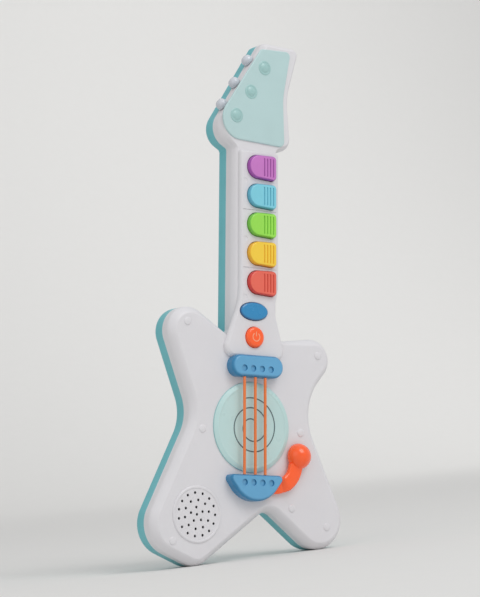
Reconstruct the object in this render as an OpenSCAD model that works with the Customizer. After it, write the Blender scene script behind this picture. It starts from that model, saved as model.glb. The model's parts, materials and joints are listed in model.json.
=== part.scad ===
// Toy electric guitar: two moulded shells joined at a parting plane, five note keys and two
// buttons over a rubber mat and board, plucked strings between two bridges, a sprung lever,
// a lit disc, a loudspeaker and a battery box behind a screwed door.
// The guitar is drawn lying flat, x across, y along the neck, z out of its face, and is then
// stood on its two lower lobes, face toward -Y.

/* [Shells] */
// wall thickness of both shells
wall = 2.4; // [2:0.1:2.6]
// height of the straight side of the front shell
side_h = 7.5; // [7:0.5:8]
// height of the body face above the parting plane
face_h = 13.5; // [13.5:0.5:14]
// depth of the back shell behind the parting plane
back_h = 13.5; // [13.5:0.5:15]
// radius of the back shell's rounded edge
back_r = 5; // [3:0.5:5]

/* [Neck] */
// height of the fretboard's face above the parting plane
board_h = 17.5; // [17:0.5:18]
// width of the fret grooves
fret_w = 0.9; // [0.6:0.1:1.2]
// depth of the fret grooves
fret_d = 0.6; // [0.4:0.1:0.8]

/* [Keys and buttons] */
// height of the note keys above the parting plane
key_h = 21.4; // [20.5:0.1:22]
// distance between neighbouring note keys
key_pitch = 24.3; // [24.2:0.1:24.6]
// height of one note key along the neck
key_len = 20.7; // [20:0.1:21]
// play around keys and buttons
play = 0.35; // [0.3:0.05:0.45]
// height of the mode button above the parting plane
button_h = 19.4; // [19:0.1:20]

/* [Strings and lever] */
// radius of a string
string_r = 1.2; // [1.1:0.1:1.4]
// height of the string centres above the parting plane
string_h = 20.8; // [20.6:0.1:21]
// radius of the ball on the lever
ball_r = 10.8; // [10:0.1:11]
// radius of the lever's pivot
pivot_r = 2.5; // [2:0.1:3]

/* [Disc and speaker] */
// radius of the lit disc
disc_r = 37.2; // [36:0.1:37.2]
// radius of the speaker grille
grille_r = 23; // [22.5:0.5:23]
// radius of one grille hole
hole_r = 1.1; // [0.9:0.1:1.2]

/* [Hidden] */

shell_white = [0.83, 0.84, 0.86];
shell_teal = [0.40, 0.68, 0.71];
mint = [0.70, 0.84, 0.82];
bridge_blue = [0.25, 0.53, 0.74];
lever_orange = [0.96, 0.38, 0.15];
steel = [0.70, 0.71, 0.73];
board_green = [0.10, 0.42, 0.25];
dark = [0.12, 0.12, 0.13];

// Every outline is a run of arcs joined by tangent lines, anticlockwise. A row holds the arc's
// centre, its radius (negative where the outline is hollow), how far it steps in at the face,
// and its number of facets.
body_arcs = [
  [2.5, -105, -12, 6, 10],      // crotch between the lobes
  [53.5, -97.5, 25, 6, 20],     // right lobe
  [90.6, -11.5, -45, 6, 8],       // right waist
  [48.5, 35.5, 17.5, 6, 16],    // right horn
  [18.5, 56.5, -7, 4, 6],       // horn to neck
  [14.2, 206.5, -3, 3, 4],      // neck to headstock
  [15.5, 221, 10.5, 4, 8],      // headstock, lower right
  [83.7, 250, -60, 4, 6],       // headstock, hollow side
  [27.5, 295, 6.5, 4, 6],       // headstock, upper right
  [2, 295.5, 6.5, 4, 6],        // headstock, peak
  [-29.5, 225.5, 16.5, 4.5, 16], // headstock, lower left
  [-35.4, 206.5, -3, 3, 5],     // headstock to neck
  [-37.5, 56.4, -4, 4, 6],      // neck to horn
  [-74.3, 51.5, 20, 6, 16],     // left horn
  [-109.2, -14, -36, 6, 8],     // left waist
  [-84.4, -104, 26, 6, 12],     // left lobe, side
  [-68, -120, 17.5, 6, 12]      // left lobe, foot
];
board_arcs = [
  [6, 40, 9, 3, 8],
  [36.5, 74, -30, 2, 6],
  [4.9, 92, 3.9, 0.6, 4],
  [5.8, 203, 3, 0.6, 4],
  [-26.3, 203, 3, 2, 4],
  [-89.5, 90, -60, 2, 6],
  [-34.5, 41, 9, 3.5, 8]
];
panel_arcs = [
  [12, 218, 5, 1, 6],
  [76, 250, -60, 1, 6],
  [19, 292, 4, 1, 5],
  [-4.5, 291, 4, 1, 5],
  [-27.5, 232, 17.5, 1, 14]
];

foot = body_arcs[16];
lobe = body_arcs[1];
// The tilt that brings both lobes onto the ground.
lean = atan2(lobe[1] - foot[1], lobe[0] - foot[0])
     - asin((lobe[2] - foot[2]) / norm([lobe[0] - foot[0], lobe[1] - foot[1]]));
ground = foot[1] * cos(lean) - foot[0] * sin(lean) - foot[2];

key_x0 = -22.6;
key_x1 = 4.6;
key_y = 94.85;
neck_x = -10.4;
string_x = [-27.6, -17, -7.2];
string_y = [-66, 20];
mode_pos = [-16.6, 70.8];
power_pos = [-15.7, 49.4];
power_r = 8.5;
power_h = button_h + 1.2;
disc_pos = [-16.2, -24.4];
grille_pos = [-68.7, -96.6];
pivot_pos = [-12, -72.5];
ball_pos = [29.2, -46.7];
lever_mid = [5.5, -52.5];
lever_bend = 20;
ball_h = 16.2;
shelf = face_h - wall - 0.1;
studs = [[-78.3, 58.7], [-63.5, -27.6], [-91.5, -118.1], [51.6, 38.8], [33.7, -26.8],
         [24.4, -89.5], [60.1, -103.9]];
bosses = [[-70, 46], [-85, -68], [-68, -128.5], [48, 34], [58, -90], [-25, 217], [8, 222]];
box_pos = [-14, -46];
box_w = 54;
box_l = 62;
door_w = 49;
door_l = 57;
cell_z = 10.1 - back_h;
lamp_z = 19.44 - back_h;

function heading(a, b) = atan2(b[1] - a[1], b[0] - a[0])
  - asin((b[2] - a[2]) / norm([b[0] - a[0], b[1] - a[1]]));
function wrap(a) = a - 360 * floor(a / 360);
function turn(r, a, b) = r > 0 ? wrap(b - a) : -wrap(a - b);
function stepped(c, k, e) = [for (q = c) [q[0], q[1], q[2] - k * q[3] - e, q[3], q[4]]];
function loop(c) = let (n = len(c)) [
  for (i = [0 : n - 1])
    let (a = heading(c[(i + n - 1) % n], c[i]),
         d = turn(c[i][2], a, heading(c[i], c[(i + 1) % n])))
      for (j = [0 : c[i][4]])
        let (h = a + d * j / c[i][4] - 90)
          [c[i][0] + c[i][2] * cos(h), c[i][1] + c[i][2] * sin(h)]];
// A closed band round an outline: the rows of lv are [share of the step, extra step, height],
// from the outer edge inward, and the band is closed at the first row's height.
module band(c, lv) {
  m = len(lv);
  rows = concat(lv, [[lv[m - 1][0], lv[m - 1][1], lv[0][2]]]);
  pts = [for (q = rows) [for (p = loop(stepped(c, q[0], q[1]))) [p[0], p[1], q[2]]]];
  n = len(pts[0]);
  up = lv[m - 1][2] > lv[0][2];
  polyhedron(
    points = [for (r = pts) for (p = r) p],
    faces = [for (k = [0 : m]) for (i = [0 : n - 1])
      let (a = k * n + i, b = k * n + (i + 1) % n,
           d = ((k + 1) % (m + 1)) * n + i, e = ((k + 1) % (m + 1)) * n + (i + 1) % n)
        for (f = [[a, d, e], [a, e, b]]) up ? f : [f[0], f[2], f[1]]]);
}
// A slab from z0 to z1 whose upper edge is bevelled over the last h millimetres.
module slab(c, z0, z1, h) {
  translate([0, 0, z0])
    linear_extrude(z1 - z0)
      polygon(loop(stepped(c, 1, 0)));
  translate([0, 0, z0])
    linear_extrude(z1 - h - z0)
      polygon(loop(c));
  band(c, [[0, 0, z1 - h], [0.35, 0, z1 - h * 0.5], [1, 0, z1]]);
}
module plate(c, e, z0, z1) {
  translate([0, 0, z0])
    linear_extrude(z1 - z0)
      polygon(loop(stepped(c, 0, e)));
}
module upright() {
  translate([-origin_x, 0, -ground])
    rotate([0, lean, 0])
      rotate([90, 0, 0])
        translate([0, 0, origin_t])
          children();
}
// Centre of the standing guitar's box, so the origin is below its middle.
function stood_x(p) = p[0] * cos(lean) + p[1] * sin(lean);
body_xs = [for (p = loop(body_arcs)) stood_x(p)];
origin_x = (max(body_xs) + min(body_xs)) / 2;
front_reach = ball_h + ball_r;
origin_t = (back_h - front_reach) / 2;

module at(p, z) {
  translate([p[0], p[1], z])
    children();
}
module post(p, r, z0, z1, n = 32) {
  at(p, z0)
    cylinder(r = r, h = z1 - z0, $fn = n);
}
module dome(p, r, h, z) {
  rs = (r * r + h * h) / (2 * h);
  at(p, z)
    intersection() {
      translate([0, 0, h - rs])
        sphere(r = rs, $fn = 40);
      translate([-r - 1, -r - 1, 0])
        cube([2 * r + 2, 2 * r + 2, h + 1]);
    }
}

// ---- keys ----
function key_arcs(i, e) = let (y = key_y + i * key_pitch, h = key_len / 2) [
  [key_x1 - 3.5, y - h + 3.5, 3.5 + e, 1.2, 5],
  [key_x1 - 3.5, y + h - 3.5, 3.5 + e, 1.2, 5],
  [key_x0 + h - 0.6, y + 0.3, h - 0.6 + e, 1.2, 14]];
module oval(e, z0, z1) {
  at(mode_pos, z0)
    linear_extrude(z1 - z0)
      offset(delta = e)
        scale([13.9, 7.5])
          circle(r = 1, $fn = 48);
}
module key_body(i) {
  ribs = [-8, -5, -2, 1];
  difference() {
    union() {
      slab(key_arcs(i, 0), shelf + 0.1, key_h, 1.6);
      plate(key_arcs(i, 0.5), 0, shelf - 1.4, shelf);
      at([key_x0 - 1.3, key_y + i * key_pitch - 6], shelf - 1.4)
        cube([key_x1 - key_x0 + 2.6, 12, 1.4]);
      plate(key_arcs(i, -0.4), 0, shelf - 0.1, shelf + 0.3);
    }
    for (x = ribs)
      translate([x - 0.4, key_y + i * key_pitch - key_len / 2 + 2.6, key_h - 0.6])
        cube([0.8, key_len - 5.2, 2]);
    plate(key_arcs(i, -1.8), 0, 5, key_h - 2);
  }
  post([neck_x, key_y + i * key_pitch], 3, 8.4, key_h - 1);
}
module key_purple() {
  upright()
    color([0.66, 0.36, 0.70])
      key_body(4);
}
module key_sky() {
  upright()
    color([0.40, 0.73, 0.84])
      key_body(3);
}
module key_green() {
  upright()
    color([0.50, 0.84, 0.22])
      key_body(2);
}
module key_yellow() {
  upright()
    color([0.98, 0.76, 0.13])
      key_body(1);
}
module key_red() {
  upright()
    color([0.87, 0.24, 0.20])
      key_body(0);
}
module mode_button() {
  upright()
    color([0.12, 0.45, 0.68]) {
      oval(0, shelf, button_h - 0.8);
      oval(-0.8, shelf, button_h);
      intersection() {
        oval(0.8, shelf - 1.2, shelf);
        at([mode_pos[0] - 9, mode_pos[1] - 10], 5)
          cube([18, 20, 10]);
      }
      post(mode_pos, 2, 8.4, 10);
    }
}
module power_button() {
  upright()
    color(lever_orange)
      difference() {
        union() {
          post(power_pos, power_r, shelf, power_h - 0.8, 48);
          at(power_pos, power_h - 0.8)
            cylinder(r1 = power_r, r2 = power_r - 1.2, h = 0.8, $fn = 48);
          post(power_pos, power_r + 0.8, shelf - 1.2, shelf, 48);
          post(power_pos, 2, 8.4, 10);
        }
        at(power_pos, power_h - 0.4)
          difference() {
            cylinder(r = 4, h = 1, $fn = 40);
            translate([0, 0, -1])
              cylinder(r = 3.1, h = 3, $fn = 40);
            translate([-1.4, 0, -1])
              cube([2.8, 6, 3]);
          }
        translate([power_pos[0] - 0.45, power_pos[1] + 0.6, power_h - 0.4])
          cube([0.9, 4, 1]);
      }
}
module control_openings(e, z0, z1) {
  for (i = [0 : 4])
    plate(key_arcs(i, play + e), 0, z0, z1);
  oval(play + e, z0, z1);
  post(power_pos, power_r + play + e, z0, z1, 48);
}

// ---- shells ----
module front_shell() {
  upright()
    color(shell_white)
      difference() {
        union() {
          difference() {
            slab(body_arcs, 0, face_h, face_h - side_h);
            plate(body_arcs, wall, -1, side_h - 1);
            translate([0, 0, -1])
              linear_extrude(face_h - wall + 1)
                polygon(loop(stepped(body_arcs, 0.75, wall)));
          }
          for (p = bosses)
            post(p, 3.2, 0, face_h - wall + 0.5, 24);
        }
        for (p = bosses)
          post(p, 1.1, -1, face_h - wall - 1, 16);
        control_openings(0, 5, 20);
        post(disc_pos, 30, 5, 20, 64);
        post(grille_pos, 20.5, 5, 20, 64);
        post(pivot_pos, 1.3, 5, 20, 24);
      }
}
module fretboard() {
  upright()
    color(shell_white)
      difference() {
        slab(board_arcs, face_h, board_h, 2.6);
        control_openings(0, 5, 30);
        plate(upper_arcs, -0.02, 5, 30);
        for (y = [107, 155.6, 204.4])
          translate([-29, y - fret_w / 2, board_h - fret_d])
            cube([37.5, fret_w, 3]);
      }
}
module back_shell() {
  upright()
    color(shell_teal)
      difference() {
        union() {
          difference() {
            union() {
              plate(body_arcs, 0, -back_h + back_r, -0.02);
              plate(body_arcs, back_r, -back_h, -1);
              band(body_arcs, [[0, 0, -back_h + back_r],
                               [0, back_r * 0.13, -back_h + back_r * 0.5],
                               [0, back_r * 0.5, -back_h + back_r * 0.134],
                               [0, back_r, -back_h]]);
            }
            plate(body_arcs, wall, -back_h + back_r, 1);
            plate(body_arcs, back_r + 0.8, -back_h + wall, 1);
          }
          for (p = bosses)
            post(p, 4, -back_h + 0.5, -0.02, 24);
          for (y = [58, 120, 182])
            at([-29, y], -back_h + 1)
              cube([36.5, 1.6, back_h + 0.98]);
        }
        for (p = bosses) {
          post(p, 1.6, -back_h - 1, 1, 16);
          post(p, 3, -back_h - 1, -4, 24);
        }
        translate([box_pos[0] - door_w / 2, box_pos[1] - door_l / 2, -back_h - 1])
          cube([door_w, door_l, wall + 2]);
        translate([box_pos[0] - 4, box_pos[1] + door_l / 2 - 1, -back_h - 1])
          cube([8, 4.5, wall + 2]);
      }
}
module headstock_panel() {
  upright()
    color(mint) {
      slab(panel_arcs, face_h, face_h + 1.4, 0.9);
      for (p = [[-3.4, 278.7], [-17.1, 256.5], [-31.7, 234.5]]) {
        post(p, 5.6, face_h + 1, face_h + 2, 40);
        dome(p, 4.4, 0.9, face_h + 2);
      }
    }
}
module tuning_pegs() {
  upright()
    color(shell_white)
      for (k = [0.08, 0.415, 0.765])
        translate([-41.9 + 37.5 * k, 239.5 + 60 * k, 4.2])
          rotate([0, 0, 57.9])
            rotate([-90, 0, 0])
              cylinder(r1 = 5, r2 = 3, h = 5.2, $fn = 32);
}
module face_studs() {
  upright()
    color(shell_white)
      for (p = studs)
        dome(p, 3.4, 1.3, face_h);
}

// ---- bridges and strings ----
upper_arcs = [
  [1.25, 25.2, 9.1, 2.4, 16],
  [-31.05, 25.2, 9.1, 2.4, 16]];
lower_arcs = [
  [-15.8, -59.5, 25.5, 2.4, 24],
  [6.05, -66.9, 3.4, 1.6, 6],
  [-37.65, -66.9, 3.4, 1.6, 6]];
bridge_h = string_h + 2.4;
module string_slots(y0, y1) {
  for (x = string_x)
    translate([x - string_r - 2, y0, string_h - string_r - 0.85])
      cube([2 * string_r + 4, y1 - y0, 2 * string_r + 1.05]);
}
module upper_bridge() {
  upright()
    color(bridge_blue)
      difference() {
        slab(upper_arcs, face_h + 0.02, bridge_h, 3);
        string_slots(12, string_y[1] + 1.2);
        for (x = [-28.8, -20.3, -11.6, -2.8])
          post([x, 23], 2.7, bridge_h - 0.6, 30, 24);
      }
}
module lower_bridge() {
  upright()
    color(bridge_blue)
      difference() {
        slab(lower_arcs, face_h + 0.02, bridge_h, 3);
        at([-21, -80.5], face_h - 1)
          cube([17.1, 15.6, 5.9]);
        at([-4, -93], face_h - 1)
          cube([44, 31.5, 5.9]);
        string_slots(string_y[0] - 1.2, -60);
        for (x = [-28.6, -19.9, -11.1, -2.3])
          post([x, -70], 2.7, bridge_h - 0.6, 30, 24);
      }
}
module string_body(x) {
  upright()
    color([0.90, 0.42, 0.18])
      translate([x, string_y[0], string_h])
        rotate([-90, 0, 0])
          cylinder(r = string_r, h = string_y[1] - string_y[0], $fn = 24);
}
module string_left() {
  string_body(string_x[0]);
}
module string_middle() {
  string_body(string_x[1]);
}
module string_right() {
  string_body(string_x[2]);
}

// ---- lit disc ----
module sound_disc() {
  upright()
    color(mint)
      difference() {
        union() {
          at(disc_pos, face_h) {
            cylinder(r = disc_r, h = 0.8, $fn = 96);
            translate([0, 0, 0.8])
              cylinder(r1 = disc_r, r2 = disc_r - 3.4, h = 1.6, $fn = 96);
          }
          post(disc_pos, 29.6, face_h - 2, face_h + 0.1, 96);
        }
        for (r = [24.4, 10.4])
          at(disc_pos, face_h + 1.8)
            difference() {
              cylinder(r = r, h = 2, $fn = 72);
              translate([0, 0, -1])
                cylinder(r = r - 1.4, h = 4, $fn = 72);
            }
      }
}
module disc_swirl() {
  upright()
    color([0.24, 0.30, 0.32])
      for (r = [24.3, 10.3])
        at(disc_pos, face_h + 1.8)
          difference() {
            cylinder(r = r, h = 0.7, $fn = 72);
            translate([0, 0, -1])
              cylinder(r = r - 1.2, h = 3, $fn = 72);
          }
}
module lamp_board() {
  upright()
    color(board_green)
      difference() {
        at([disc_pos[0] - 26, disc_pos[1] - 22], lamp_z)
          cube([52, 44, 1.6]);
        for (x = [-24, 24])
          post([disc_pos[0] + x, disc_pos[1] + 20], 1.2, lamp_z - 1, lamp_z + 3, 16);
      }
}
module disc_lamps() {
  upright()
    color([0.92, 0.93, 0.88])
      for (a = [0 : 60 : 300])
        at([disc_pos[0] + 14 * cos(a), disc_pos[1] + 14 * sin(a)], lamp_z + 1.62) {
          cylinder(r = 2.5, h = 2, $fn = 24);
          translate([0, 0, 2])
            cylinder(r1 = 2.5, r2 = 1.4, h = 1.4, $fn = 24);
        }
}

// ---- lever ----
module lever_arm() {
  upright()
    color(lever_orange)
      difference() {
        union() {
          lever_run(14.2, 18);
          difference() {
            lever_run(ball_h, 20.6);
            translate([-60, -120, 14])
              cube([73, 150, 10]);
          }
          intersection() {
            at(ball_pos, ball_h)
              sphere(r = ball_r, $fn = 48);
            at([0, -80], ball_h)
              cube([60, 60, 14]);
          }
        }
        post(pivot_pos, pivot_r + 0.05, 10, 30, 48);
      }
}
module lever_run(z0, z1) {
  for (k = [0 : 5]) {
    a = -93 + 17 * k;
    b = a + 17;
    ca = lever_mid + lever_bend * [cos(a), sin(a)];
    cb = lever_mid + lever_bend * [cos(b), sin(b)];
    plate([[ca[0], ca[1], 6.5, 0, 12], [cb[0], cb[1], 6.5, 0, 12]], 0, z0, z1);
  }
  plate([[pivot_pos[0], pivot_pos[1], 6, 0, 12], [5, -72.5, 6.5, 0, 12]], 0, z0, z1);
}
module lever_screw() {
  upright()
    color(steel) {
      post(pivot_pos, pivot_r, face_h + 0.02, 18.1, 48);
      post(pivot_pos, 1.25, face_h - wall - 1, face_h + 0.1, 24);
      post(pivot_pos, 3, face_h - wall - 1.6, face_h - wall - 0.02, 24);
    }
}

// ---- speaker ----
module speaker_grille() {
  upright()
    color(shell_white)
      difference() {
        at(grille_pos, face_h) {
          cylinder(r = grille_r, h = 0.5, $fn = 72);
          translate([0, 0, 0.5])
            cylinder(r1 = grille_r, r2 = grille_r - 1, h = 0.6, $fn = 72);
        }
        at(grille_pos, face_h + 0.8)
          cylinder(r = grille_r - 2.6, h = 1, $fn = 72);
        post(grille_pos, hole_r, 5, 20, 12);
        for (ring = [1 : 3])
          for (k = [0 : ring * 5 - 1]) {
            a = 360 * k / (ring * 5) + ring * 24;
            post([grille_pos[0] + ring * 5.8 * cos(a), grille_pos[1] + ring * 5.8 * sin(a)],
                 hole_r, 5, 20, 12);
          }
      }
}
module speaker_frame() {
  upright()
    color(dark)
      difference() {
        at(grille_pos, 0) {
          translate([0, 0, 9.2])
            cylinder(r = 22.5, h = face_h - wall - 9.22, $fn = 64);
          translate([0, 0, 0])
            cylinder(r1 = 12, r2 = 20, h = 9.2, $fn = 64);
        }
        at(grille_pos, 1.5)
          cylinder(r1 = 10.8, r2 = 18.8, h = 8, $fn = 64);
        post(grille_pos, 19, 9.1, 20, 64);
        post(grille_pos, 6, -1, 4, 48);
      }
}
module speaker_cone() {
  upright()
    color([0.20, 0.20, 0.22])
      at(grille_pos, 1.6)
        difference() {
          cylinder(r1 = 6.6, r2 = 17.8, h = 8, $fn = 64);
          translate([0, 0, 0.8])
            cylinder(r1 = 5.8, r2 = 17.4, h = 7.6, $fn = 64);
        }
}
module speaker_magnet() {
  upright()
    color(steel) {
      post(grille_pos, 11, -7, -0.02, 48);
      post(grille_pos, 4.8, -0.1, 1.4, 48);
    }
}

// ---- neck electronics ----
module key_mat() {
  upright()
    color([0.55, 0.56, 0.58]) {
      at([-27, 41], 3.6)
        cube([32, 166, 0.9]);
      for (i = [0 : 4])
        at([neck_x, key_y + i * key_pitch], 4.4)
          cylinder(r1 = 5, r2 = 3.4, h = 1.8, $fn = 32);
      for (p = [mode_pos, power_pos])
        at(p, 4.4)
          cylinder(r1 = 4, r2 = 2.4, h = 2.4, $fn = 32);
    }
}
module key_board() {
  upright()
    color(board_green)
      at([-28, 40], 2)
        cube([34, 168, 1.58]);
}

// ---- battery ----
module battery_box() {
  upright()
    color(dark)
      difference() {
        at([box_pos[0] - box_w / 2, box_pos[1] - box_l / 2], -back_h + wall + 0.02)
          cube([box_w, box_l, 17]);
        at([box_pos[0] - 24, box_pos[1] - 28], -back_h)
          cube([48, 56, 17.8]);
      }
}
module battery_cells() {
  upright()
    color([0.30, 0.33, 0.38])
      for (k = [-1 : 1])
        translate([box_pos[0] + 15.4 * k, box_pos[1] - 25.3, cell_z])
          rotate([-90, 0, 0]) {
            cylinder(r = 7.15, h = 49.2, $fn = 40);
            translate([0, 0, 49.2])
              cylinder(r = 2.7, h = 1.2, $fn = 24);
          }
}
module battery_contacts() {
  upright()
    color(steel)
      for (k = [-1 : 1]) {
        at([box_pos[0] + 15.4 * k - 5, box_pos[1] - 27.9], cell_z - 4.5)
          cube([10, 0.5, 9]);
        translate([box_pos[0] + 15.4 * k, box_pos[1] - 27.5, cell_z])
          rotate([-90, 0, 0])
            cylinder(r1 = 4, r2 = 2.4, h = 2.1, $fn = 24);
        at([box_pos[0] + 15.4 * k - 5, box_pos[1] + 27.4], cell_z - 4.5)
          cube([10, 0.5, 9]);
      }
}
module battery_door() {
  upright()
    color(shell_teal)
      difference() {
        union() {
          at([box_pos[0] - door_w / 2 + 0.2, box_pos[1] - door_l / 2 + 0.2], -back_h)
            cube([door_w - 0.4, door_l - 0.4, 2]);
          at([box_pos[0] - 3.8, box_pos[1] + door_l / 2 - 1.2], -back_h)
            cube([7.6, 4.4, 2]);
        }
        for (y = [-18 : 6 : 6])
          at([box_pos[0] - 15, box_pos[1] + y], -back_h - 1)
            cube([30, 1.6, 1.6]);
        post([box_pos[0], box_pos[1] + 20], 1.7, -back_h - 1, 0, 24);
        post([box_pos[0], box_pos[1] + 20], 3.2, -back_h - 1, -back_h + 1, 24);
      }
}
module door_screw() {
  upright()
    color(steel)
      difference() {
        union() {
          post([box_pos[0], box_pos[1] + 20], 2.9, -back_h + 0.2, -back_h + 1, 24);
          post([box_pos[0], box_pos[1] + 20], 1.5, -back_h + 0.9, -back_h + 2.6, 24);
        }
        for (a = [0, 90])
          at([box_pos[0], box_pos[1] + 20], -back_h)
            rotate([0, 0, a])
              translate([-1.8, -0.35, 0])
                cube([3.6, 0.7, 0.8]);
      }
}
module shell_screws() {
  upright()
    color(steel)
      for (p = bosses)
        difference() {
          union() {
            post(p, 2.7, -6.4, -4.02, 24);
            post(p, 1.05, -5, 8, 16);
          }
          for (a = [0, 90])
            at(p, -7)
              rotate([0, 0, a])
                translate([-1.7, -0.35, 0])
                  cube([3.4, 0.7, 1.6]);
        }
}

front_shell();
fretboard();
back_shell();
headstock_panel();
tuning_pegs();
face_studs();
key_purple();
key_sky();
key_green();
key_yellow();
key_red();
key_mat();
key_board();
mode_button();
power_button();
upper_bridge();
lower_bridge();
string_left();
string_middle();
string_right();
sound_disc();
disc_swirl();
disc_lamps();
lamp_board();
lever_arm();
lever_screw();
speaker_grille();
speaker_frame();
speaker_cone();
speaker_magnet();
battery_box();
battery_cells();
battery_contacts();
battery_door();
door_screw();
shell_screws();
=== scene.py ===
import bpy
import bmesh
from math import asin, atan2, cos, hypot, pi, radians, sin
from mathutils import Matrix, Vector
from mathutils.geometry import tessellate_polygon
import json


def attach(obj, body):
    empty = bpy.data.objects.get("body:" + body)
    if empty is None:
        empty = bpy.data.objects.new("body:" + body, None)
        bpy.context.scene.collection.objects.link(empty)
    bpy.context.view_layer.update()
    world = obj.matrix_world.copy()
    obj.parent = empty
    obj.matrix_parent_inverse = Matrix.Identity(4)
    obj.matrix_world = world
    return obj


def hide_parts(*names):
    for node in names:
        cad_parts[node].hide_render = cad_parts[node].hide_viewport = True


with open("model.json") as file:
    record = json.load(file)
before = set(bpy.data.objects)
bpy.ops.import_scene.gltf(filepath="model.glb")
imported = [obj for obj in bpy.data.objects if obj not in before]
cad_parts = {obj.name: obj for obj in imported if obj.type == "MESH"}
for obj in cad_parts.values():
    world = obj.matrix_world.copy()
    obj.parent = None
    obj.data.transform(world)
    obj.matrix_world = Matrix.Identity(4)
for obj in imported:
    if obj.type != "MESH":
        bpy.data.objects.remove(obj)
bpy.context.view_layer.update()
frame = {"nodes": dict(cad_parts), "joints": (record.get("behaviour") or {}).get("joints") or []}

# The guitar is drawn lying flat in millimetres, x across, y along the neck, z out of its face,
# as in the CAD source. FLAT stands it up in the row frame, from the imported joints.
joints = {j["name"]: j for j in frame["joints"]}
PIVOT = (-12, -72.5, 16)
LEAN = asin(-joints["string_left_pluck"]["axis"][2])
FLAT = (
    Matrix.Translation(joints["lever_swing"]["pos_m"])
    @ Matrix.Rotation(LEAN, 4, "Y")
    @ Matrix.Rotation(radians(90), 4, "X")
    @ Matrix.Scale(0.001, 4)
    @ Matrix.Translation([-c for c in PIVOT])
)

# Heights above the parting plane
SIDE_H = 7.5
FACE_H = 13.5
BOARD_H = 17.5
KEY_H = 21.4
BUTTON_H = 19.4
POWER_H = 20.6
STRING_H = 20.8
BRIDGE_H = STRING_H + 2.4
BACK_H = 13.5
BACK_R = 5

# Arc rows: centre, radius (negative where hollow), step at the face, facets
BODY = [
    (2.5, -105, -12, 6, 16),
    (53.5, -97.5, 25, 6, 48),
    (90.6, -11.5, -45, 6, 24),
    (48.5, 35.5, 17.5, 6, 40),
    (18.5, 56.5, -7, 4, 12),
    (14.2, 206.5, -3, 3, 8),
    (15.5, 221, 10.5, 4, 20),
    (83.7, 250, -60, 4, 14),
    (27.5, 295, 6.5, 4, 14),
    (2, 295.5, 6.5, 4, 14),
    (-29.5, 225.5, 16.5, 4.5, 36),
    (-35.4, 206.5, -3, 3, 8),
    (-37.5, 56.4, -4, 4, 10),
    (-74.3, 51.5, 20, 6, 40),
    (-109.2, -14, -36, 6, 24),
    (-84.4, -104, 26, 6, 28),
    (-68, -120, 17.5, 6, 28),
]
BOARD = [
    (6, 40, 9, 3, 16),
    (36.5, 74, -30, 2, 14),
    (4.9, 92, 3.9, 0.6, 8),
    (5.8, 203, 3, 0.6, 8),
    (-26.3, 203, 3, 2, 8),
    (-89.5, 90, -60, 2, 16),
    (-34.5, 41, 9, 3.5, 16),
]
PANEL = [
    (12, 218, 5, 1, 14),
    (76, 250, -60, 1, 14),
    (19, 292, 4, 1, 12),
    (-4.5, 291, 4, 1, 12),
    (-27.5, 232, 17.5, 1, 36),
]
UPPER = [(1.25, 25.2, 9.1, 2.4, 48), (-31.05, 25.2, 9.1, 2.4, 48)]
LOWER = [
    (-15.8, -59.5, 25.5, 2.4, 72),
    (6.05, -66.9, 3.4, 1.6, 16),
    (-37.65, -66.9, 3.4, 1.6, 16),
]
KEY_X0, KEY_X1, KEY_Y, KEY_PITCH, KEY_LEN = -22.6, 4.6, 94.85, 24.3, 20.7
KEYS = ["key_red", "key_yellow", "key_green", "key_sky", "key_purple"]
RIBS = [-8, -5, -2, 1]
PLAY = 0.35
MODE = (-16.3, 70.8)
MODE_A, MODE_B, MODE_STEM = 13.6, 7.5, 1.6
POWER = (-15.7, 49.4)
POWER_R = 8.5
DISC = (-16.2, -24.4)
DISC_R = 37.2
GRILLE = (-68.7, -96.6)
GRILLE_R = 23
BALL = (29.2, -46.7, 16.2)
BALL_R = 10.8
STRING_X = [-27.6, -17, -7.2]
STRING_Y = (-63.44, 16.04)
STRING_R = 1.2
LEVER_MID = (5.5, -52.5)
LEVER_BEND = 20
LEVER_ROOF = 18.4
LEVER_BAY = (-21, -80.5, -4, -64.9)
EYE_R = 2.6
SHELL_SCREWS = [(-70, 46), (-85, -68), (-68, -128.5), (48, 34), (58, -90), (-25, 217), (8, 222)]
DOOR = (-14, -46)
PEG_EDGE = (-41.9, 239.5, 37.5, 60)
STUDS = [
    (-78.3, 58.7), (-63.5, -27.6), (-91.5, -118.1), (51.6, 38.8), (33.7, -26.8),
    (24.4, -89.5), (60.1, -103.9),
]


# ---- camera ----
def set_camera(target, azimuth, elevation, roll, distance, lens):
    data = bpy.data.cameras.new("camera")
    data.lens = lens
    data.sensor_width = 36
    data.clip_end = 20
    cam = bpy.data.objects.new("camera", data)
    bpy.context.scene.collection.objects.link(cam)
    back = Vector((
        sin(radians(azimuth)) * cos(radians(elevation)),
        -cos(radians(azimuth)) * cos(radians(elevation)),
        sin(radians(elevation)),
    ))
    turn = back.to_track_quat("Z", "Y") @ Matrix.Rotation(radians(-roll), 4, "Z").to_quaternion()
    cam.rotation_euler = turn.to_euler()
    cam.location = Vector(target) + back * distance
    bpy.context.scene.camera = cam


set_camera((0.0091, -0.00675, 0.2122), -34.73, -4.18, 5.75, 1.755, 128.7)


# ---- outlines ----
def heading(a, b):
    d = hypot(b[0] - a[0], b[1] - a[1])
    return atan2(b[1] - a[1], b[0] - a[0]) - asin((b[2] - a[2]) / d)


def loop(rows):
    """The points of a run of arcs joined by tangent lines, anticlockwise."""
    pts = []
    for i, (x, y, r, _, n) in enumerate(rows):
        a = heading(rows[i - 1], rows[i])
        b = heading(rows[i], rows[(i + 1) % len(rows)])
        d = (b - a) % (2 * pi) if r > 0 else -((a - b) % (2 * pi))
        for j in range(n + 1):
            h = a + d * j / n - pi / 2
            pts.append((x + r * cos(h), y + r * sin(h)))
    return pts


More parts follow.
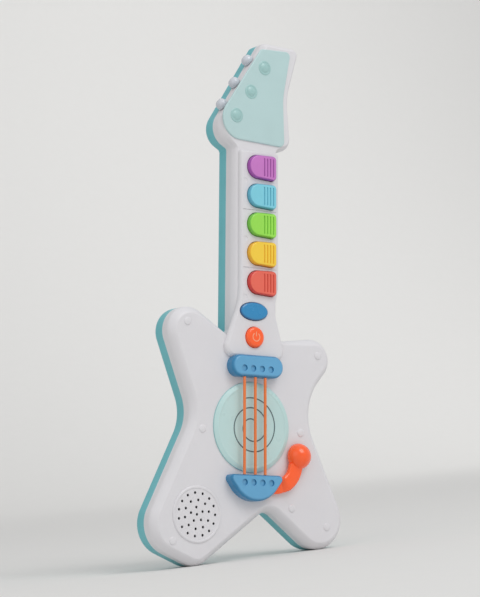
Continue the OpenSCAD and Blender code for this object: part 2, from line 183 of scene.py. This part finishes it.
def arcs(rows):
    """A shape: k takes the rows' own step inward, e a further even step."""
    return lambda k=0, e=0: loop([(x, y, r - k * s - e, s, n) for x, y, r, s, n in rows])


def round_shape(p, r, n=64):
    return lambda k=0, e=0: [
        (p[0] + (r - e) * cos(2 * pi * i / n), p[1] + (r - e) * sin(2 * pi * i / n))
        for i in range(n)
    ]


def oval_shape(p, a, b, n=72):
    return lambda k=0, e=0: [
        (p[0] + (a - e) * cos(2 * pi * i / n), p[1] + (b - e) * sin(2 * pi * i / n))
        for i in range(n)
    ]


def box_shape(x0, y0, x1, y1, r):
    return arcs([(x1 - r, y0 + r, r, 0, 6), (x1 - r, y1 - r, r, 0, 6),
                 (x0 + r, y1 - r, r, 0, 6), (x0 + r, y0 + r, r, 0, 6)])


def key_shape(i):
    y, h = KEY_Y + i * KEY_PITCH, KEY_LEN / 2
    return arcs([
        (KEY_X1 - 3.5, y - h + 3.5, 3.5, 1.2, 12),
        (KEY_X1 - 3.5, y + h - 3.5, 3.5, 1.2, 12),
        (KEY_X0 + h - 0.6, y + 0.3, h - 0.6, 1.2, 36),
    ])


def rounded(z0, z1, k1=1.0, e1=0.0, power=2.0, steps=7):
    """Levels (k, e, z) of an edge that turns inward from z0 to z1."""
    out = []
    for i in range(steps + 1):
        a = pi / 2 * i / steps
        w = 1 - cos(a) ** (2 / power)
        out.append((k1 * w, e1 * w, z0 + (z1 - z0) * sin(a) ** (2 / power)))
    return out


# ---- meshes ----
class Build:
    """Rings of vertices, skinned and filled, in flat millimetres."""

    def __init__(self):
        self.bm = bmesh.new()

    def ring(self, pts, z):
        return [self.bm.verts.new((x, y, z)) for x, y in pts]

    def skin(self, rings):
        for a, b in zip(rings, rings[1:]):
            for i in range(len(a)):
                j = (i + 1) % len(a)
                self.bm.faces.new((a[i], a[j], b[j], b[i]))

    def fill(self, rings):
        flat = [v for ring in rings for v in ring]
        for tri in tessellate_polygon([[v.co for v in ring] for ring in rings]):
            if len(set(tri)) == 3:
                try:
                    self.bm.faces.new([flat[i] for i in tri])
                except ValueError:
                    pass

    def slab(self, shape, levels, holes=(), pockets=()):
        """A closed solid. holes are (shape, edge radius), pockets (shape, edge radius, depth)."""
        rings = [self.ring(shape(k, e), z) for k, e, z in levels]
        self.skin(rings)
        bottom, top = [rings[0]], [rings[-1]]
        z0, z1 = levels[0][2], levels[-1][2]
        for cut in list(holes) + list(pockets):
            inner, r = cut[0], cut[1]
            floor = z1 - cut[2] if len(cut) > 2 else z0
            steps = [(-r, z1), (-0.6 * r, z1 - 0.08 * r), (-0.2 * r, z1 - 0.4 * r), (0, z1 - r)]
            walls = [self.ring(inner(0, e), z) for e, z in steps + [(0, floor)]]
            self.skin(walls)
            top.append(walls[0])
            if len(cut) > 2:
                self.fill([walls[-1]])
            else:
                bottom.append(walls[-1])
        self.fill(top)
        self.fill(bottom)

    def lathe(self, centre, profile, n=64, axis=None):
        """A turned solid: profile rows are (radius, height), from the bottom up."""
        c, turn = Vector(centre), axis or Matrix.Identity(3)
        rings = []
        for r, z in profile:
            if r < 1e-6:
                rings.append([self.bm.verts.new(c + turn @ Vector((0, 0, z)))])
            else:
                rings.append([
                    self.bm.verts.new(c + turn @ Vector((
                        r * cos(2 * pi * i / n), r * sin(2 * pi * i / n), z)))
                    for i in range(n)
                ])
        for a, b in zip(rings, rings[1:]):
            for i in range(n):
                j = (i + 1) % n
                if len(a) == 1 and len(b) > 1:
                    self.bm.faces.new((a[0], b[j], b[i]))
                elif len(b) == 1 and len(a) > 1:
                    self.bm.faces.new((a[i], a[j], b[0]))
                else:
                    self.bm.faces.new((a[i], a[j], b[j], b[i]))
        for end in (rings[0], rings[-1]):
            if len(end) > 1:
                self.bm.faces.new(end)

    def tube(self, path, sections):
        """A swept closed tube: one section (list of (across, up)) at each point of path."""
        rings = []
        for i, p in enumerate(path):
            a = Vector(path[max(i - 1, 0)])
            b = Vector(path[min(i + 1, len(path) - 1)])
            d = (b - a).normalized()
            side = Vector((d.y, -d.x, 0)).normalized()
            up = side.cross(d)
            rings.append([self.bm.verts.new(Vector(p) + side * s + up * t)
                          for s, t in sections[i]])
        self.skin(rings)
        self.bm.faces.new(rings[0])
        self.bm.faces.new(rings[-1])

    def finish(self, name, body, material, nodes=(), sharp=32):
        bmesh.ops.recalc_face_normals(self.bm, faces=self.bm.faces)
        mesh = bpy.data.meshes.new(name)
        self.bm.to_mesh(mesh)
        self.bm.free()
        mesh.transform(FLAT)
        mesh.polygons.foreach_set("use_smooth", [True] * len(mesh.polygons))
        mesh.set_sharp_from_angle(angle=radians(sharp))
        mesh.materials.append(material)
        obj = bpy.data.objects.new(name, mesh)
        bpy.context.scene.collection.objects.link(obj)
        even = obj.modifiers.new("even_normals", "WEIGHTED_NORMAL")
        even.keep_sharp = True
        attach(obj, body)
        if nodes:
            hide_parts(*nodes)
        return obj


# ---- materials ----
def srgb(r, g, b):
    def one(c):
        c /= 255
        return c / 12.92 if c <= 0.04045 else ((c + 0.055) / 1.055) ** 2.4
    return (one(r), one(g), one(b), 1)


def shade(color, f):
    return tuple(min(1, c * f) for c in color[:3]) + (1,)


def material(name, color, rough=0.35, metal=0.0, bump=0.02, grain=900, vary=0.04,
             coat=0.0, sss=0.0, wear=0.06, painted_side_shade=None, painted_glow=0.0):
    """Moulded plastic or metal: soft mottling, fine grain in the bump, paler worn edges.

    rim, the darker colour, is painted shade on the surfaces that turn away from the guitar's
    face; glow is painted light, an emission on a part that is no lamp.
    """
    mat = bpy.data.materials.new(name)
    mat.use_nodes = True
    nodes, links = mat.node_tree.nodes, mat.node_tree.links
    shader = nodes["Principled BSDF"]
    shader.inputs["Metallic"].default_value = metal
    shader.inputs["Coat Weight"].default_value = coat
    shader.inputs["Coat Roughness"].default_value = 0.15
    shader.inputs["Subsurface Weight"].default_value = sss
    shader.inputs["Subsurface Radius"].default_value = (0.004, 0.004, 0.004)
    # Emission colour and strength make the painted glow, painted light on a part that is no lamp.
    shader.inputs["Emission Color"].default_value = color
    shader.inputs["Emission Strength"].default_value = painted_glow
    place = nodes.new("ShaderNodeTexCoord")

    def noise(scale, detail):
        n = nodes.new("ShaderNodeTexNoise")
        n.inputs["Scale"].default_value = scale
        n.inputs["Detail"].default_value = detail
        links.new(place.outputs["Object"], n.inputs["Vector"])
        return n.outputs["Fac"]

    def blend(fac, a, b):
        ramp = nodes.new("ShaderNodeValToRGB")
        ramp.color_ramp.elements[0].position = 0.3
        ramp.color_ramp.elements[1].position = 0.7
        ramp.color_ramp.elements[0].color = a
        ramp.color_ramp.elements[1].color = b
        links.new(fac, ramp.inputs["Fac"])
        return ramp.outputs["Color"]

    tone = blend(noise(38, 3), shade(color, 1 - vary), shade(color, 1 + vary))
    geometry = nodes.new("ShaderNodeNewGeometry")
    # Painted shade: surfaces that turn away from the guitar's face take the darker rim colour.
    if painted_side_shade:
        split = nodes.new("ShaderNodeSeparateXYZ")
        links.new(geometry.outputs["Normal"], split.inputs[0])
        side_shade_mask = nodes.new("ShaderNodeMapRange")
        side_shade_mask.inputs["From Min"].default_value = -0.985
        side_shade_mask.inputs["From Max"].default_value = -0.6
        links.new(split.outputs["Y"], side_shade_mask.inputs["Value"])
        side_shade_mix = nodes.new("ShaderNodeMix")
        side_shade_mix.data_type = "RGBA"
        links.new(side_shade_mask.outputs["Result"], side_shade_mix.inputs["Factor"])
        links.new(tone, side_shade_mix.inputs[6])
        side_shade_mix.inputs[7].default_value = painted_side_shade
        tone = side_shade_mix.outputs[2]
    edge = geometry.outputs["Pointiness"]
    edge_ramp = nodes.new("ShaderNodeValToRGB")
    edge_ramp.color_ramp.elements[0].position = 0.52
    edge_ramp.color_ramp.elements[1].position = 0.6
    edge_ramp.color_ramp.elements[0].color = (0, 0, 0, 1)
    edge_ramp.color_ramp.elements[1].color = (wear, wear, wear, 1)
    links.new(edge, edge_ramp.inputs["Fac"])
    mix = nodes.new("ShaderNodeMix")
    mix.data_type = "RGBA"
    links.new(edge_ramp.outputs["Color"], mix.inputs["Factor"])
    links.new(tone, mix.inputs[6])
    mix.inputs[7].default_value = (0.9, 0.9, 0.9, 1)
    links.new(mix.outputs[2], shader.inputs["Base Color"])
    gloss = nodes.new("ShaderNodeMapRange")
    gloss.inputs["To Min"].default_value = rough - 0.05
    gloss.inputs["To Max"].default_value = rough + 0.07
    links.new(noise(90, 4), gloss.inputs["Value"])
    links.new(gloss.outputs["Result"], shader.inputs["Roughness"])
    relief = nodes.new("ShaderNodeBump")
    relief.inputs["Strength"].default_value = bump
    relief.inputs["Distance"].default_value = 0.0004
    links.new(noise(grain, 2), relief.inputs["Height"])
    links.new(relief.outputs["Normal"], shader.inputs["Normal"])
    return mat


white = material("shell_white", srgb(225, 223, 226), rough=0.38, bump=0.05, vary=0.012, wear=0)
pearl = material("pearl_white", srgb(208, 212, 220), rough=0.22, bump=0.03, vary=0.02,
                 coat=0.4, wear=0)
teal = material("shell_teal", srgb(108, 189, 197), rough=0.4, bump=0.06, vary=0.03)
mint = material("mint_plastic", srgb(189, 216, 216), rough=0.3, bump=0.03, vary=0.02,
                sss=0.15, wear=0.03)
# disc_mint's rim colour is painted shade on the disc's sloped edge and wall.
disc_mint = material("disc_mint", srgb(196, 224, 222), rough=0.28, bump=0.03, vary=0.02,
                     sss=0.15, wear=0.02, painted_side_shade=srgb(160, 204, 204))
# A darker copy of the headstock mint for its bumps: painted shade.
mint_painted_shade = material("mint_bumps_painted_shade", srgb(164, 202, 200), rough=0.28, vary=0.02, sss=0.15,
                     wear=0.02)
# The rim colours of the key, button and bridge plastics below are painted shade for their sides.
purple = material("purple_plastic", srgb(204, 122, 200), rough=0.3, coat=0.25, wear=0.02,
                  painted_side_shade=srgb(164, 74, 172))
sky = material("sky_plastic", srgb(128, 210, 228), rough=0.3, coat=0.25, wear=0.02,
               painted_side_shade=srgb(92, 178, 204))
green = material("green_plastic", srgb(156, 230, 80), rough=0.3, coat=0.25, wear=0.02,
                 painted_side_shade=srgb(112, 196, 56))
yellow = material("yellow_plastic", srgb(255, 212, 62), rough=0.3, coat=0.25, wear=0.02,
                  painted_side_shade=srgb(240, 178, 24))
red = material("red_plastic", srgb(240, 106, 86), rough=0.3, coat=0.25, wear=0.02,
               painted_side_shade=srgb(212, 50, 42))
mode_blue = material("mode_blue", srgb(40, 140, 196), rough=0.26, coat=0.4, wear=0.02,
                     painted_side_shade=srgb(26, 96, 150))
# orange has a painted glow: emission on plastic parts that are no lamp.
orange = material("orange_plastic", srgb(255, 92, 26), rough=0.24, coat=0.5, wear=0.02,
                  painted_glow=0.1)
pale_orange = material("pale_orange", srgb(255, 178, 140), rough=0.4, wear=0)
bridge_blue = material("bridge_blue", srgb(100, 168, 210), rough=0.33, coat=0.2, wear=0.02,
                       painted_side_shade=srgb(42, 128, 176))
string_orange = material("string_orange", srgb(238, 124, 60), rough=0.45, bump=0.08,
                         grain=2600)
# Dark grey painted shade, standing for the shade in the disc's spiral groove.
groove_shade = material("swirl_ink", srgb(92, 110, 114), rough=0.5, wear=0)
dark = material("dark_plastic", srgb(34, 34, 36), rough=0.6, bump=0.1, wear=0.02)
steel = material("steel", srgb(190, 192, 196), rough=0.3, metal=1.0, vary=0.05)
rubber = material("mat_rubber", srgb(150, 152, 156), rough=0.7, bump=0.08)
board_green = material("board", srgb(24, 104, 66), rough=0.45, vary=0.12, bump=0.1)
lamp = material("lamp_plastic", srgb(240, 240, 226), rough=0.15, sss=0.2, wear=0)
cone = material("cone_paper", srgb(48, 48, 52), rough=0.85, bump=0.3, vary=0.1, wear=0)
cell = material("cell_wrap", srgb(70, 78, 92), rough=0.35, metal=0.3, vary=0.1)
key_colours = dict(zip(KEYS, (red, yellow, green, sky, purple)))


def dress_cad_nodes():
    """Materials and softened edges for the CAD nodes that stay in view."""
    looks = {
        "key_mat": rubber, "key_board": board_green, "lamp_board": board_green,
        "disc_lamps": lamp, "lever_screw": steel, "speaker_frame": dark,
        "speaker_cone": cone, "speaker_magnet": steel, "battery_box": dark,
        "battery_cells": cell, "battery_contacts": steel, "battery_door": teal,
        "door_screw": steel, "shell_screws": steel,
    }
    for name, mat in looks.items():
        obj = frame["nodes"][name]
        obj.data.materials.clear()
        obj.data.materials.append(mat)
        edges = obj.modifiers.new("soft_edges", "BEVEL")
        edges.width = 0.0002
        edges.segments = 2
        edges.limit_method = "ANGLE"
        edges.angle_limit = radians(40)
        edges.use_clamp_overlap = True


# ---- shells ----
def front_shell():
    b = Build()
    side = [(0, 0.35, 0), (0, 0, 0.35), (0, 0, SIDE_H - 0.6)]
    slope = rounded(SIDE_H - 0.6, FACE_H, power=1.45, steps=12)[1:]
    holes = [(arcs_grown(key_shape(i), PLAY), 0.3) for i in range(5)]
    holes.append((oval_shape(MODE, MODE_A - MODE_STEM + PLAY, MODE_B - MODE_STEM + PLAY), 0.05))
    holes.append((round_shape(POWER, POWER_R + PLAY), 0.3))
    holes.append((round_shape(DISC, 30, 96), 0.3))
    holes.append((round_shape(GRILLE, 20.5, 96), 0.3))
    b.slab(arcs(BODY), side + slope, holes=holes)
    b.finish("front_shell_skin", "guitar", white, ["front_shell"])


def back_shell():
    b = Build()
    turn = rounded(-BACK_H + BACK_R, -BACK_H, k1=0, e1=BACK_R, steps=10)
    levels = [(0, 0.35, 0), (0, 0, -0.35)] + turn
    holes = [(door_opening(), -0.2)]
    holes += [(round_shape(p, 3, 32), -0.25) for p in SHELL_SCREWS]
    b.slab(arcs(BODY), levels, holes=holes)
    b.finish("back_shell_skin", "guitar", teal, ["back_shell"])


def door_opening():
    """The battery door's opening with the notch for its tab."""
    x, y = DOOR
    pts = [(-24.5, -28.5), (24.5, -28.5), (24.5, 28.5), (4, 28.5), (4, 32), (-4, 32),
           (-4, 28.5), (-24.5, 28.5)]
    return lambda k=0, e=0: [(x + u * (1 - e / 30), y + v * (1 - e / 30)) for u, v in pts]


def fretboard():
    b = Build()
    holes = [(arcs_grown(key_shape(i), PLAY), 0.35) for i in range(5)]
    holes.append((oval_shape(MODE, MODE_A + PLAY, MODE_B + PLAY), 0.05))
    holes.append((round_shape(POWER, POWER_R + PLAY), 0.35))
    levels = [(0, 0, FACE_H), (0, 0, FACE_H + 0.8)]
    levels += rounded(FACE_H + 0.8, BOARD_H, power=1.6, steps=8)[1:]
    grooves = [(box_shape(-26.9, y - 0.4, 6.2, y + 0.4, 0.3), 0.15, 0.55) for y in (107, 155.6)]
    dots = [(round_shape((-24.5, y), 1.9, 32), 0.25, 0.4) for y in (180.2, 131.4, 82.6)]
    b.slab(arcs(BOARD), levels, holes=holes, pockets=grooves + dots)
    b.finish("fretboard_skin", "guitar", white, ["fretboard"])


def arcs_grown(shape, grow):
    return lambda k=0, e=0: shape(k, e - grow)


def headstock():
    b = Build()
    levels = [(0, 0, FACE_H), (0, 0, FACE_H + 0.5)]
    levels += rounded(FACE_H + 0.5, FACE_H + 1.4, power=2, steps=5)[1:]
    b.slab(arcs(PANEL), levels)
    b.finish("headstock_panel_skin", "guitar", mint, ["headstock_panel"])
    b = Build()
    for p in ((-3.4, 278.7), (-17.1, 256.5), (-31.7, 234.5)):
        z = FACE_H + 1.3
        b.lathe((*p, z), [(0, 0), (6.2, 0), (6.1, 0.25), (5.6, 0.55), (5.0, 0.6), (4.5, 0.42),
                          (4.2, 0.5), (3.6, 0.95), (2.6, 1.3), (1.3, 1.5), (0, 1.55)])
    # The bumps take the darker mint copy, painted shade.
    b.finish("headstock_bumps", "guitar", mint_painted_shade)


def tuning_pegs():
    b = Build()
    turn = Matrix.Rotation(radians(57.9), 3, "Z") @ Matrix.Rotation(radians(-90), 3, "X")
    x, y, run, rise = PEG_EDGE
    for k in (0.08, 0.415, 0.765):
        b.lathe((x + run * k, y + rise * k, 4.2),
                [(5.0, -0.5), (5.0, 1.0), (4.8, 2.4), (4.2, 3.7), (3.1, 4.7), (1.6, 5.1),
                 (0, 5.2)], 40, turn)
    b.finish("tuning_pegs_skin", "guitar", pearl, ["tuning_pegs"])


def face_studs():
    b = Build()
    for p in STUDS:
        b.lathe((*p, FACE_H - 0.2), [(3.4, 0), (3.4, 0.35), (3.1, 0.7), (2.5, 0.95), (1.4, 1.1),
                                     (0, 1.15)], 40)
    b.finish("face_studs_skin", "guitar", white, ["face_studs"])


# ---- keys and buttons ----
def keys():
    for i, name in enumerate(KEYS):
        b = Build()
        levels = [(0, 0, 11), (0, 0, KEY_H - 2)]
        levels += rounded(KEY_H - 2, KEY_H, k1=1.2, power=2, steps=7)[1:]
        y = KEY_Y + i * KEY_PITCH
        top = [(box_shape(x - 0.45, y - 7.6, x + 0.45, y + 7.6, 0.42), 0.35, 0.7) for x in RIBS]
        b.slab(key_shape(i), levels, pockets=top)
        b.finish(name + "_skin", name, key_colours[name], [name])


def buttons():
    b = Build()
    levels = [(0, MODE_STEM, 11), (0, MODE_STEM, 14.8), (0, 0, 15), (0, 0, BUTTON_H - 1.5)]
    levels += rounded(BUTTON_H - 1.5, BUTTON_H, k1=0, e1=2.2, steps=7)[1:]
    b.slab(oval_shape(MODE, MODE_A, MODE_B), levels)
    b.finish("mode_button_skin", "mode_button", mode_blue, ["mode_button"])
    b = Build()
    levels = [(0, 0, 11), (0, 0, POWER_H - 2.2)]
    levels += rounded(POWER_H - 2.2, POWER_H, k1=0, e1=2.8, steps=9)[1:]
    b.slab(round_shape(POWER, POWER_R), levels)
    b.finish("power_button_skin", "power_button", orange, ["power_button"])
    b = Build()
    n = 40
    path = [(POWER[0] + 3.4 * cos(a), POWER[1] + 3.4 * sin(a), POWER_H - 0.1)
            for a in (radians(125 + 290 * i / n) for i in range(n + 1))]
    b.tube(path, [small_section(0.42)] * len(path))
    x, y = POWER
    b.tube([(x, y + 0.6, POWER_H - 0.1), (x, y + 4.4, POWER_H - 0.1)], [small_section(0.42)] * 2)
    b.finish("power_mark", "power_button", pale_orange)


def small_section(r, n=12):
    return [(r * cos(2 * pi * i / n), 0.5 * r * sin(2 * pi * i / n)) for i in range(n)]


# ---- bridges, strings and lever ----
def bridges():
    levels = [(0, 0, BRIDGE_H - 3)] + rounded(BRIDGE_H - 3, BRIDGE_H, power=1.7, steps=8)[1:]
    b = Build()
    dots = [(round_shape((x, 23), 2.6, 32), 0.2, 1.4) for x in (-28.8, -20.3, -11.6, -2.8)]
    b.slab(arcs(UPPER), [(0, 0, FACE_H)] + levels, pockets=dots)
    b.finish("upper_bridge_skin", "guitar", bridge_blue, ["upper_bridge"])
    b = Build()
    dots = [(round_shape((x, -70), 2.6, 32), 0.2, 1.4) for x in (-28.6, -19.9, -11.1, -2.3)]
    b.slab(arcs(LOWER), [(0, 0, LEVER_ROOF)] + levels, pockets=dots)
    foot = lever_bay()
    b.slab(lambda k=0, e=0: foot, [(0, 0, FACE_H), (0, 0, LEVER_ROOF)])
    b.finish("lower_bridge_skin", "guitar", bridge_blue, ["lower_bridge"])


def lever_bay():
    """The lower bridge's foot: its outline, cut away where the lever lies."""
    outline = loop(LOWER)
    x, y, r, _, facets = LOWER[0]
    x0, y0, cut, y1 = LEVER_BAY
    low = y - (r ** 2 - (cut - x) ** 2) ** 0.5
    top = LOWER[1][1] + LOWER[1][2]
    bay = [(cut, low), (cut, y0), (x0, y0), (x0, y1), (cut, y1), (cut, top)]
    bottom = [p for p in outline[:facets + 1] if p[0] < cut]
    return bottom + bay + [p for p in outline[facets + 1:] if p[0] < cut]


def strings():
    for name, x in zip(("string_left", "string_middle", "string_right"), STRING_X):
        b = Build()
        n = 24
        y0, y1 = STRING_Y
        path = [(x, y0 + (y1 - y0) * i / n, STRING_H) for i in range(n + 1)]
        round_section = [(STRING_R * cos(2 * pi * i / 20), STRING_R * sin(2 * pi * i / 20))
                         for i in range(20)]
        b.tube(path, [round_section] * len(path))
        b.finish(name + "_skin", name, string_orange, [name])


def lever():
    b = Build()
    flat = [(-8.6 + 1.95 * i, -72.5) for i in range(7)]
    bend = [(LEVER_MID[0] + LEVER_BEND * cos(a), LEVER_MID[1] + LEVER_BEND * sin(a))
            for a in (radians(-88 + 86 * i / 36) for i in range(37))]
    path, sections = [], []
    for x, y in flat + bend:
        rise = min(1, max(0, (x - 12) / 4)) if y > -72.4 else 0
        path.append((x, y, 16.1 + 1.5 * rise))
        w, h = 5.9 + 0.5 * rise, 1.8 + 1.2 * rise
        sections.append([(w * fold(cos(t)), h * fold(sin(t)))
                         for t in (2 * pi * j / 32 for j in range(32))])
    b.tube(path, sections)
    eye = [b.ring(round_shape(PIVOT[:2], q, 48)(), z)
           for q, z in ((EYE_R, 14.2), (6, 14.2), (6, 17.4), (5.4, 18), (EYE_R, 18))]
    b.skin(eye + [eye[0]])
    dome = []
    for i in range(17):
        a = -pi / 2 + pi * i / 16
        dome.append((BALL_R * cos(a) if 0 < i < 16 else 0, BALL_R * sin(a)))
    dome = [(r, z) for r, z in dome if z > -1.2]
    b.lathe(BALL, [(BALL_R * 0.9, -1.2)] + dome, 72)
    b.finish("lever_arm_skin", "lever_arm", orange, ["lever_arm"], sharp=50)


def fold(c, p=0.62):
    return abs(c) ** p * (1 if c >= 0 else -1)


# ---- disc ----
def sound_disc():
    b = Build()
    r = DISC_R
    b.lathe((*DISC, FACE_H), [
        (29.4, -2), (29.4, 0), (r, 0), (r, 0.7), (r - 0.3, 1.1), (r - 3.2, 2.2), (r - 3.9, 2.35),
        (r - 4.6, 2.2), (r - 5.2, 1.9), (0, 1.9)], 128)
    b.finish("sound_disc_skin", "guitar", disc_mint, ["sound_disc"])
    b = Build()
    turns, n = 2.1, 150
    path = []
    for i in range(n + 1):
        f = i / n
        a = radians(75) + turns * 2 * pi * f
        q = 6 + 18.5 * f ** 0.9
        path.append((DISC[0] + q * cos(a), DISC[1] + q * sin(a), FACE_H + 2.0))
    # The spiral groove is drawn as a thin dark line of painted shade.
    b.tube(path, [small_section(0.5)] * len(path))
    b.finish("disc_swirl_line", "guitar", groove_shade, ["disc_swirl"])


# ---- speaker grille ----
def grille():
    b = Build()
    holes = [(round_shape(GRILLE, 1.15, 16), 0.2)]
    for ring in (1, 2, 3):
        for k in range(ring * 5):
            a = radians(360 * k / (ring * 5) + ring * 24)
            p = (GRILLE[0] + ring * 5.8 * cos(a), GRILLE[1] + ring * 5.8 * sin(a))
            holes.append((round_shape(p, 1.15, 16), 0.2))
    b.slab(round_shape(GRILLE, GRILLE_R - 2, 96), [(0, 0, FACE_H - 0.6), (0, 0, FACE_H + 0.45)],
           holes=holes)
    n = 96
    rings = []
    for q, z in ((GRILLE_R, 0), (GRILLE_R, 0.5), (GRILLE_R - 0.5, 0.95), (GRILLE_R - 1.2, 1.1),
                 (GRILLE_R - 1.9, 0.95), (GRILLE_R - 2.4, 0.4), (GRILLE_R - 2.4, 0)):
        rings.append(b.ring(round_shape(GRILLE, q, n)(), FACE_H + z))
    b.skin(rings + [rings[0]])
    b.finish("speaker_grille_skin", "guitar", white, ["speaker_grille"])


# ---- studio ----
def studio():
    paper = material("studio_paper", srgb(226, 225, 223), rough=0.9, vary=0.004, wear=0)
    b = bmesh.new()
    width, near, far, r, top = 9.0, -6.0, 5.4, 2.6, 7.0
    line = [(near, 0)] + [
        (far - r + r * sin(a), r - r * cos(a)) for a in (pi / 2 * i / 24 for i in range(25))
    ] + [(far, top)]
    rows = [[b.verts.new((x, y, z)) for x in (-width, width)] for y, z in line]
    for p, q in zip(rows, rows[1:]):
        b.faces.new((p[0], p[1], q[1], q[0]))
    mesh = bpy.data.meshes.new("studio_sweep")
    b.to_mesh(mesh)
    b.free()
    mesh.polygons.foreach_set("use_smooth", [True] * len(mesh.polygons))
    mesh.materials.append(paper)
    sweep = bpy.data.objects.new("studio_sweep", mesh)
    bpy.context.scene.collection.objects.link(sweep)


def area_light(name, place, size, power, aim=(0, 0, 0.2)):
    data = bpy.data.lights.new(name, "AREA")
    data.size = size
    data.energy = power
    obj = bpy.data.objects.new(name, data)
    obj.location = place
    obj.rotation_euler = (Vector(place) - Vector(aim)).to_track_quat("Z", "Y").to_euler()
    bpy.context.scene.collection.objects.link(obj)


def lights():
    world = bpy.data.worlds.new("studio")
    world.use_nodes = True
    world.node_tree.nodes["Background"].inputs["Color"].default_value = (0.98, 0.99, 1, 1)
    world.node_tree.nodes["Background"].inputs["Strength"].default_value = 0.62
    bpy.context.scene.world = world
    area_light("key", (0.5, -2.0, 2.3), 1.6, 28)
    area_light("fill", (-2.2, -1.2, 1.4), 1.8, 6)
    area_light("top", (0, 0.2, 2.6), 2.0, 4)
    area_light("backdrop", (3.3, 2.6, 3.0), 2.6, 40, aim=(3.9, 4.6, 0.5))
    bpy.context.scene.view_settings.view_transform = "Standard"
    bpy.context.scene.view_settings.look = "None"


dress_cad_nodes()
front_shell()
back_shell()
fretboard()
headstock()
tuning_pegs()
face_studs()
keys()
buttons()
bridges()
strings()
lever()
sound_disc()
grille()
studio()
lights()

import json
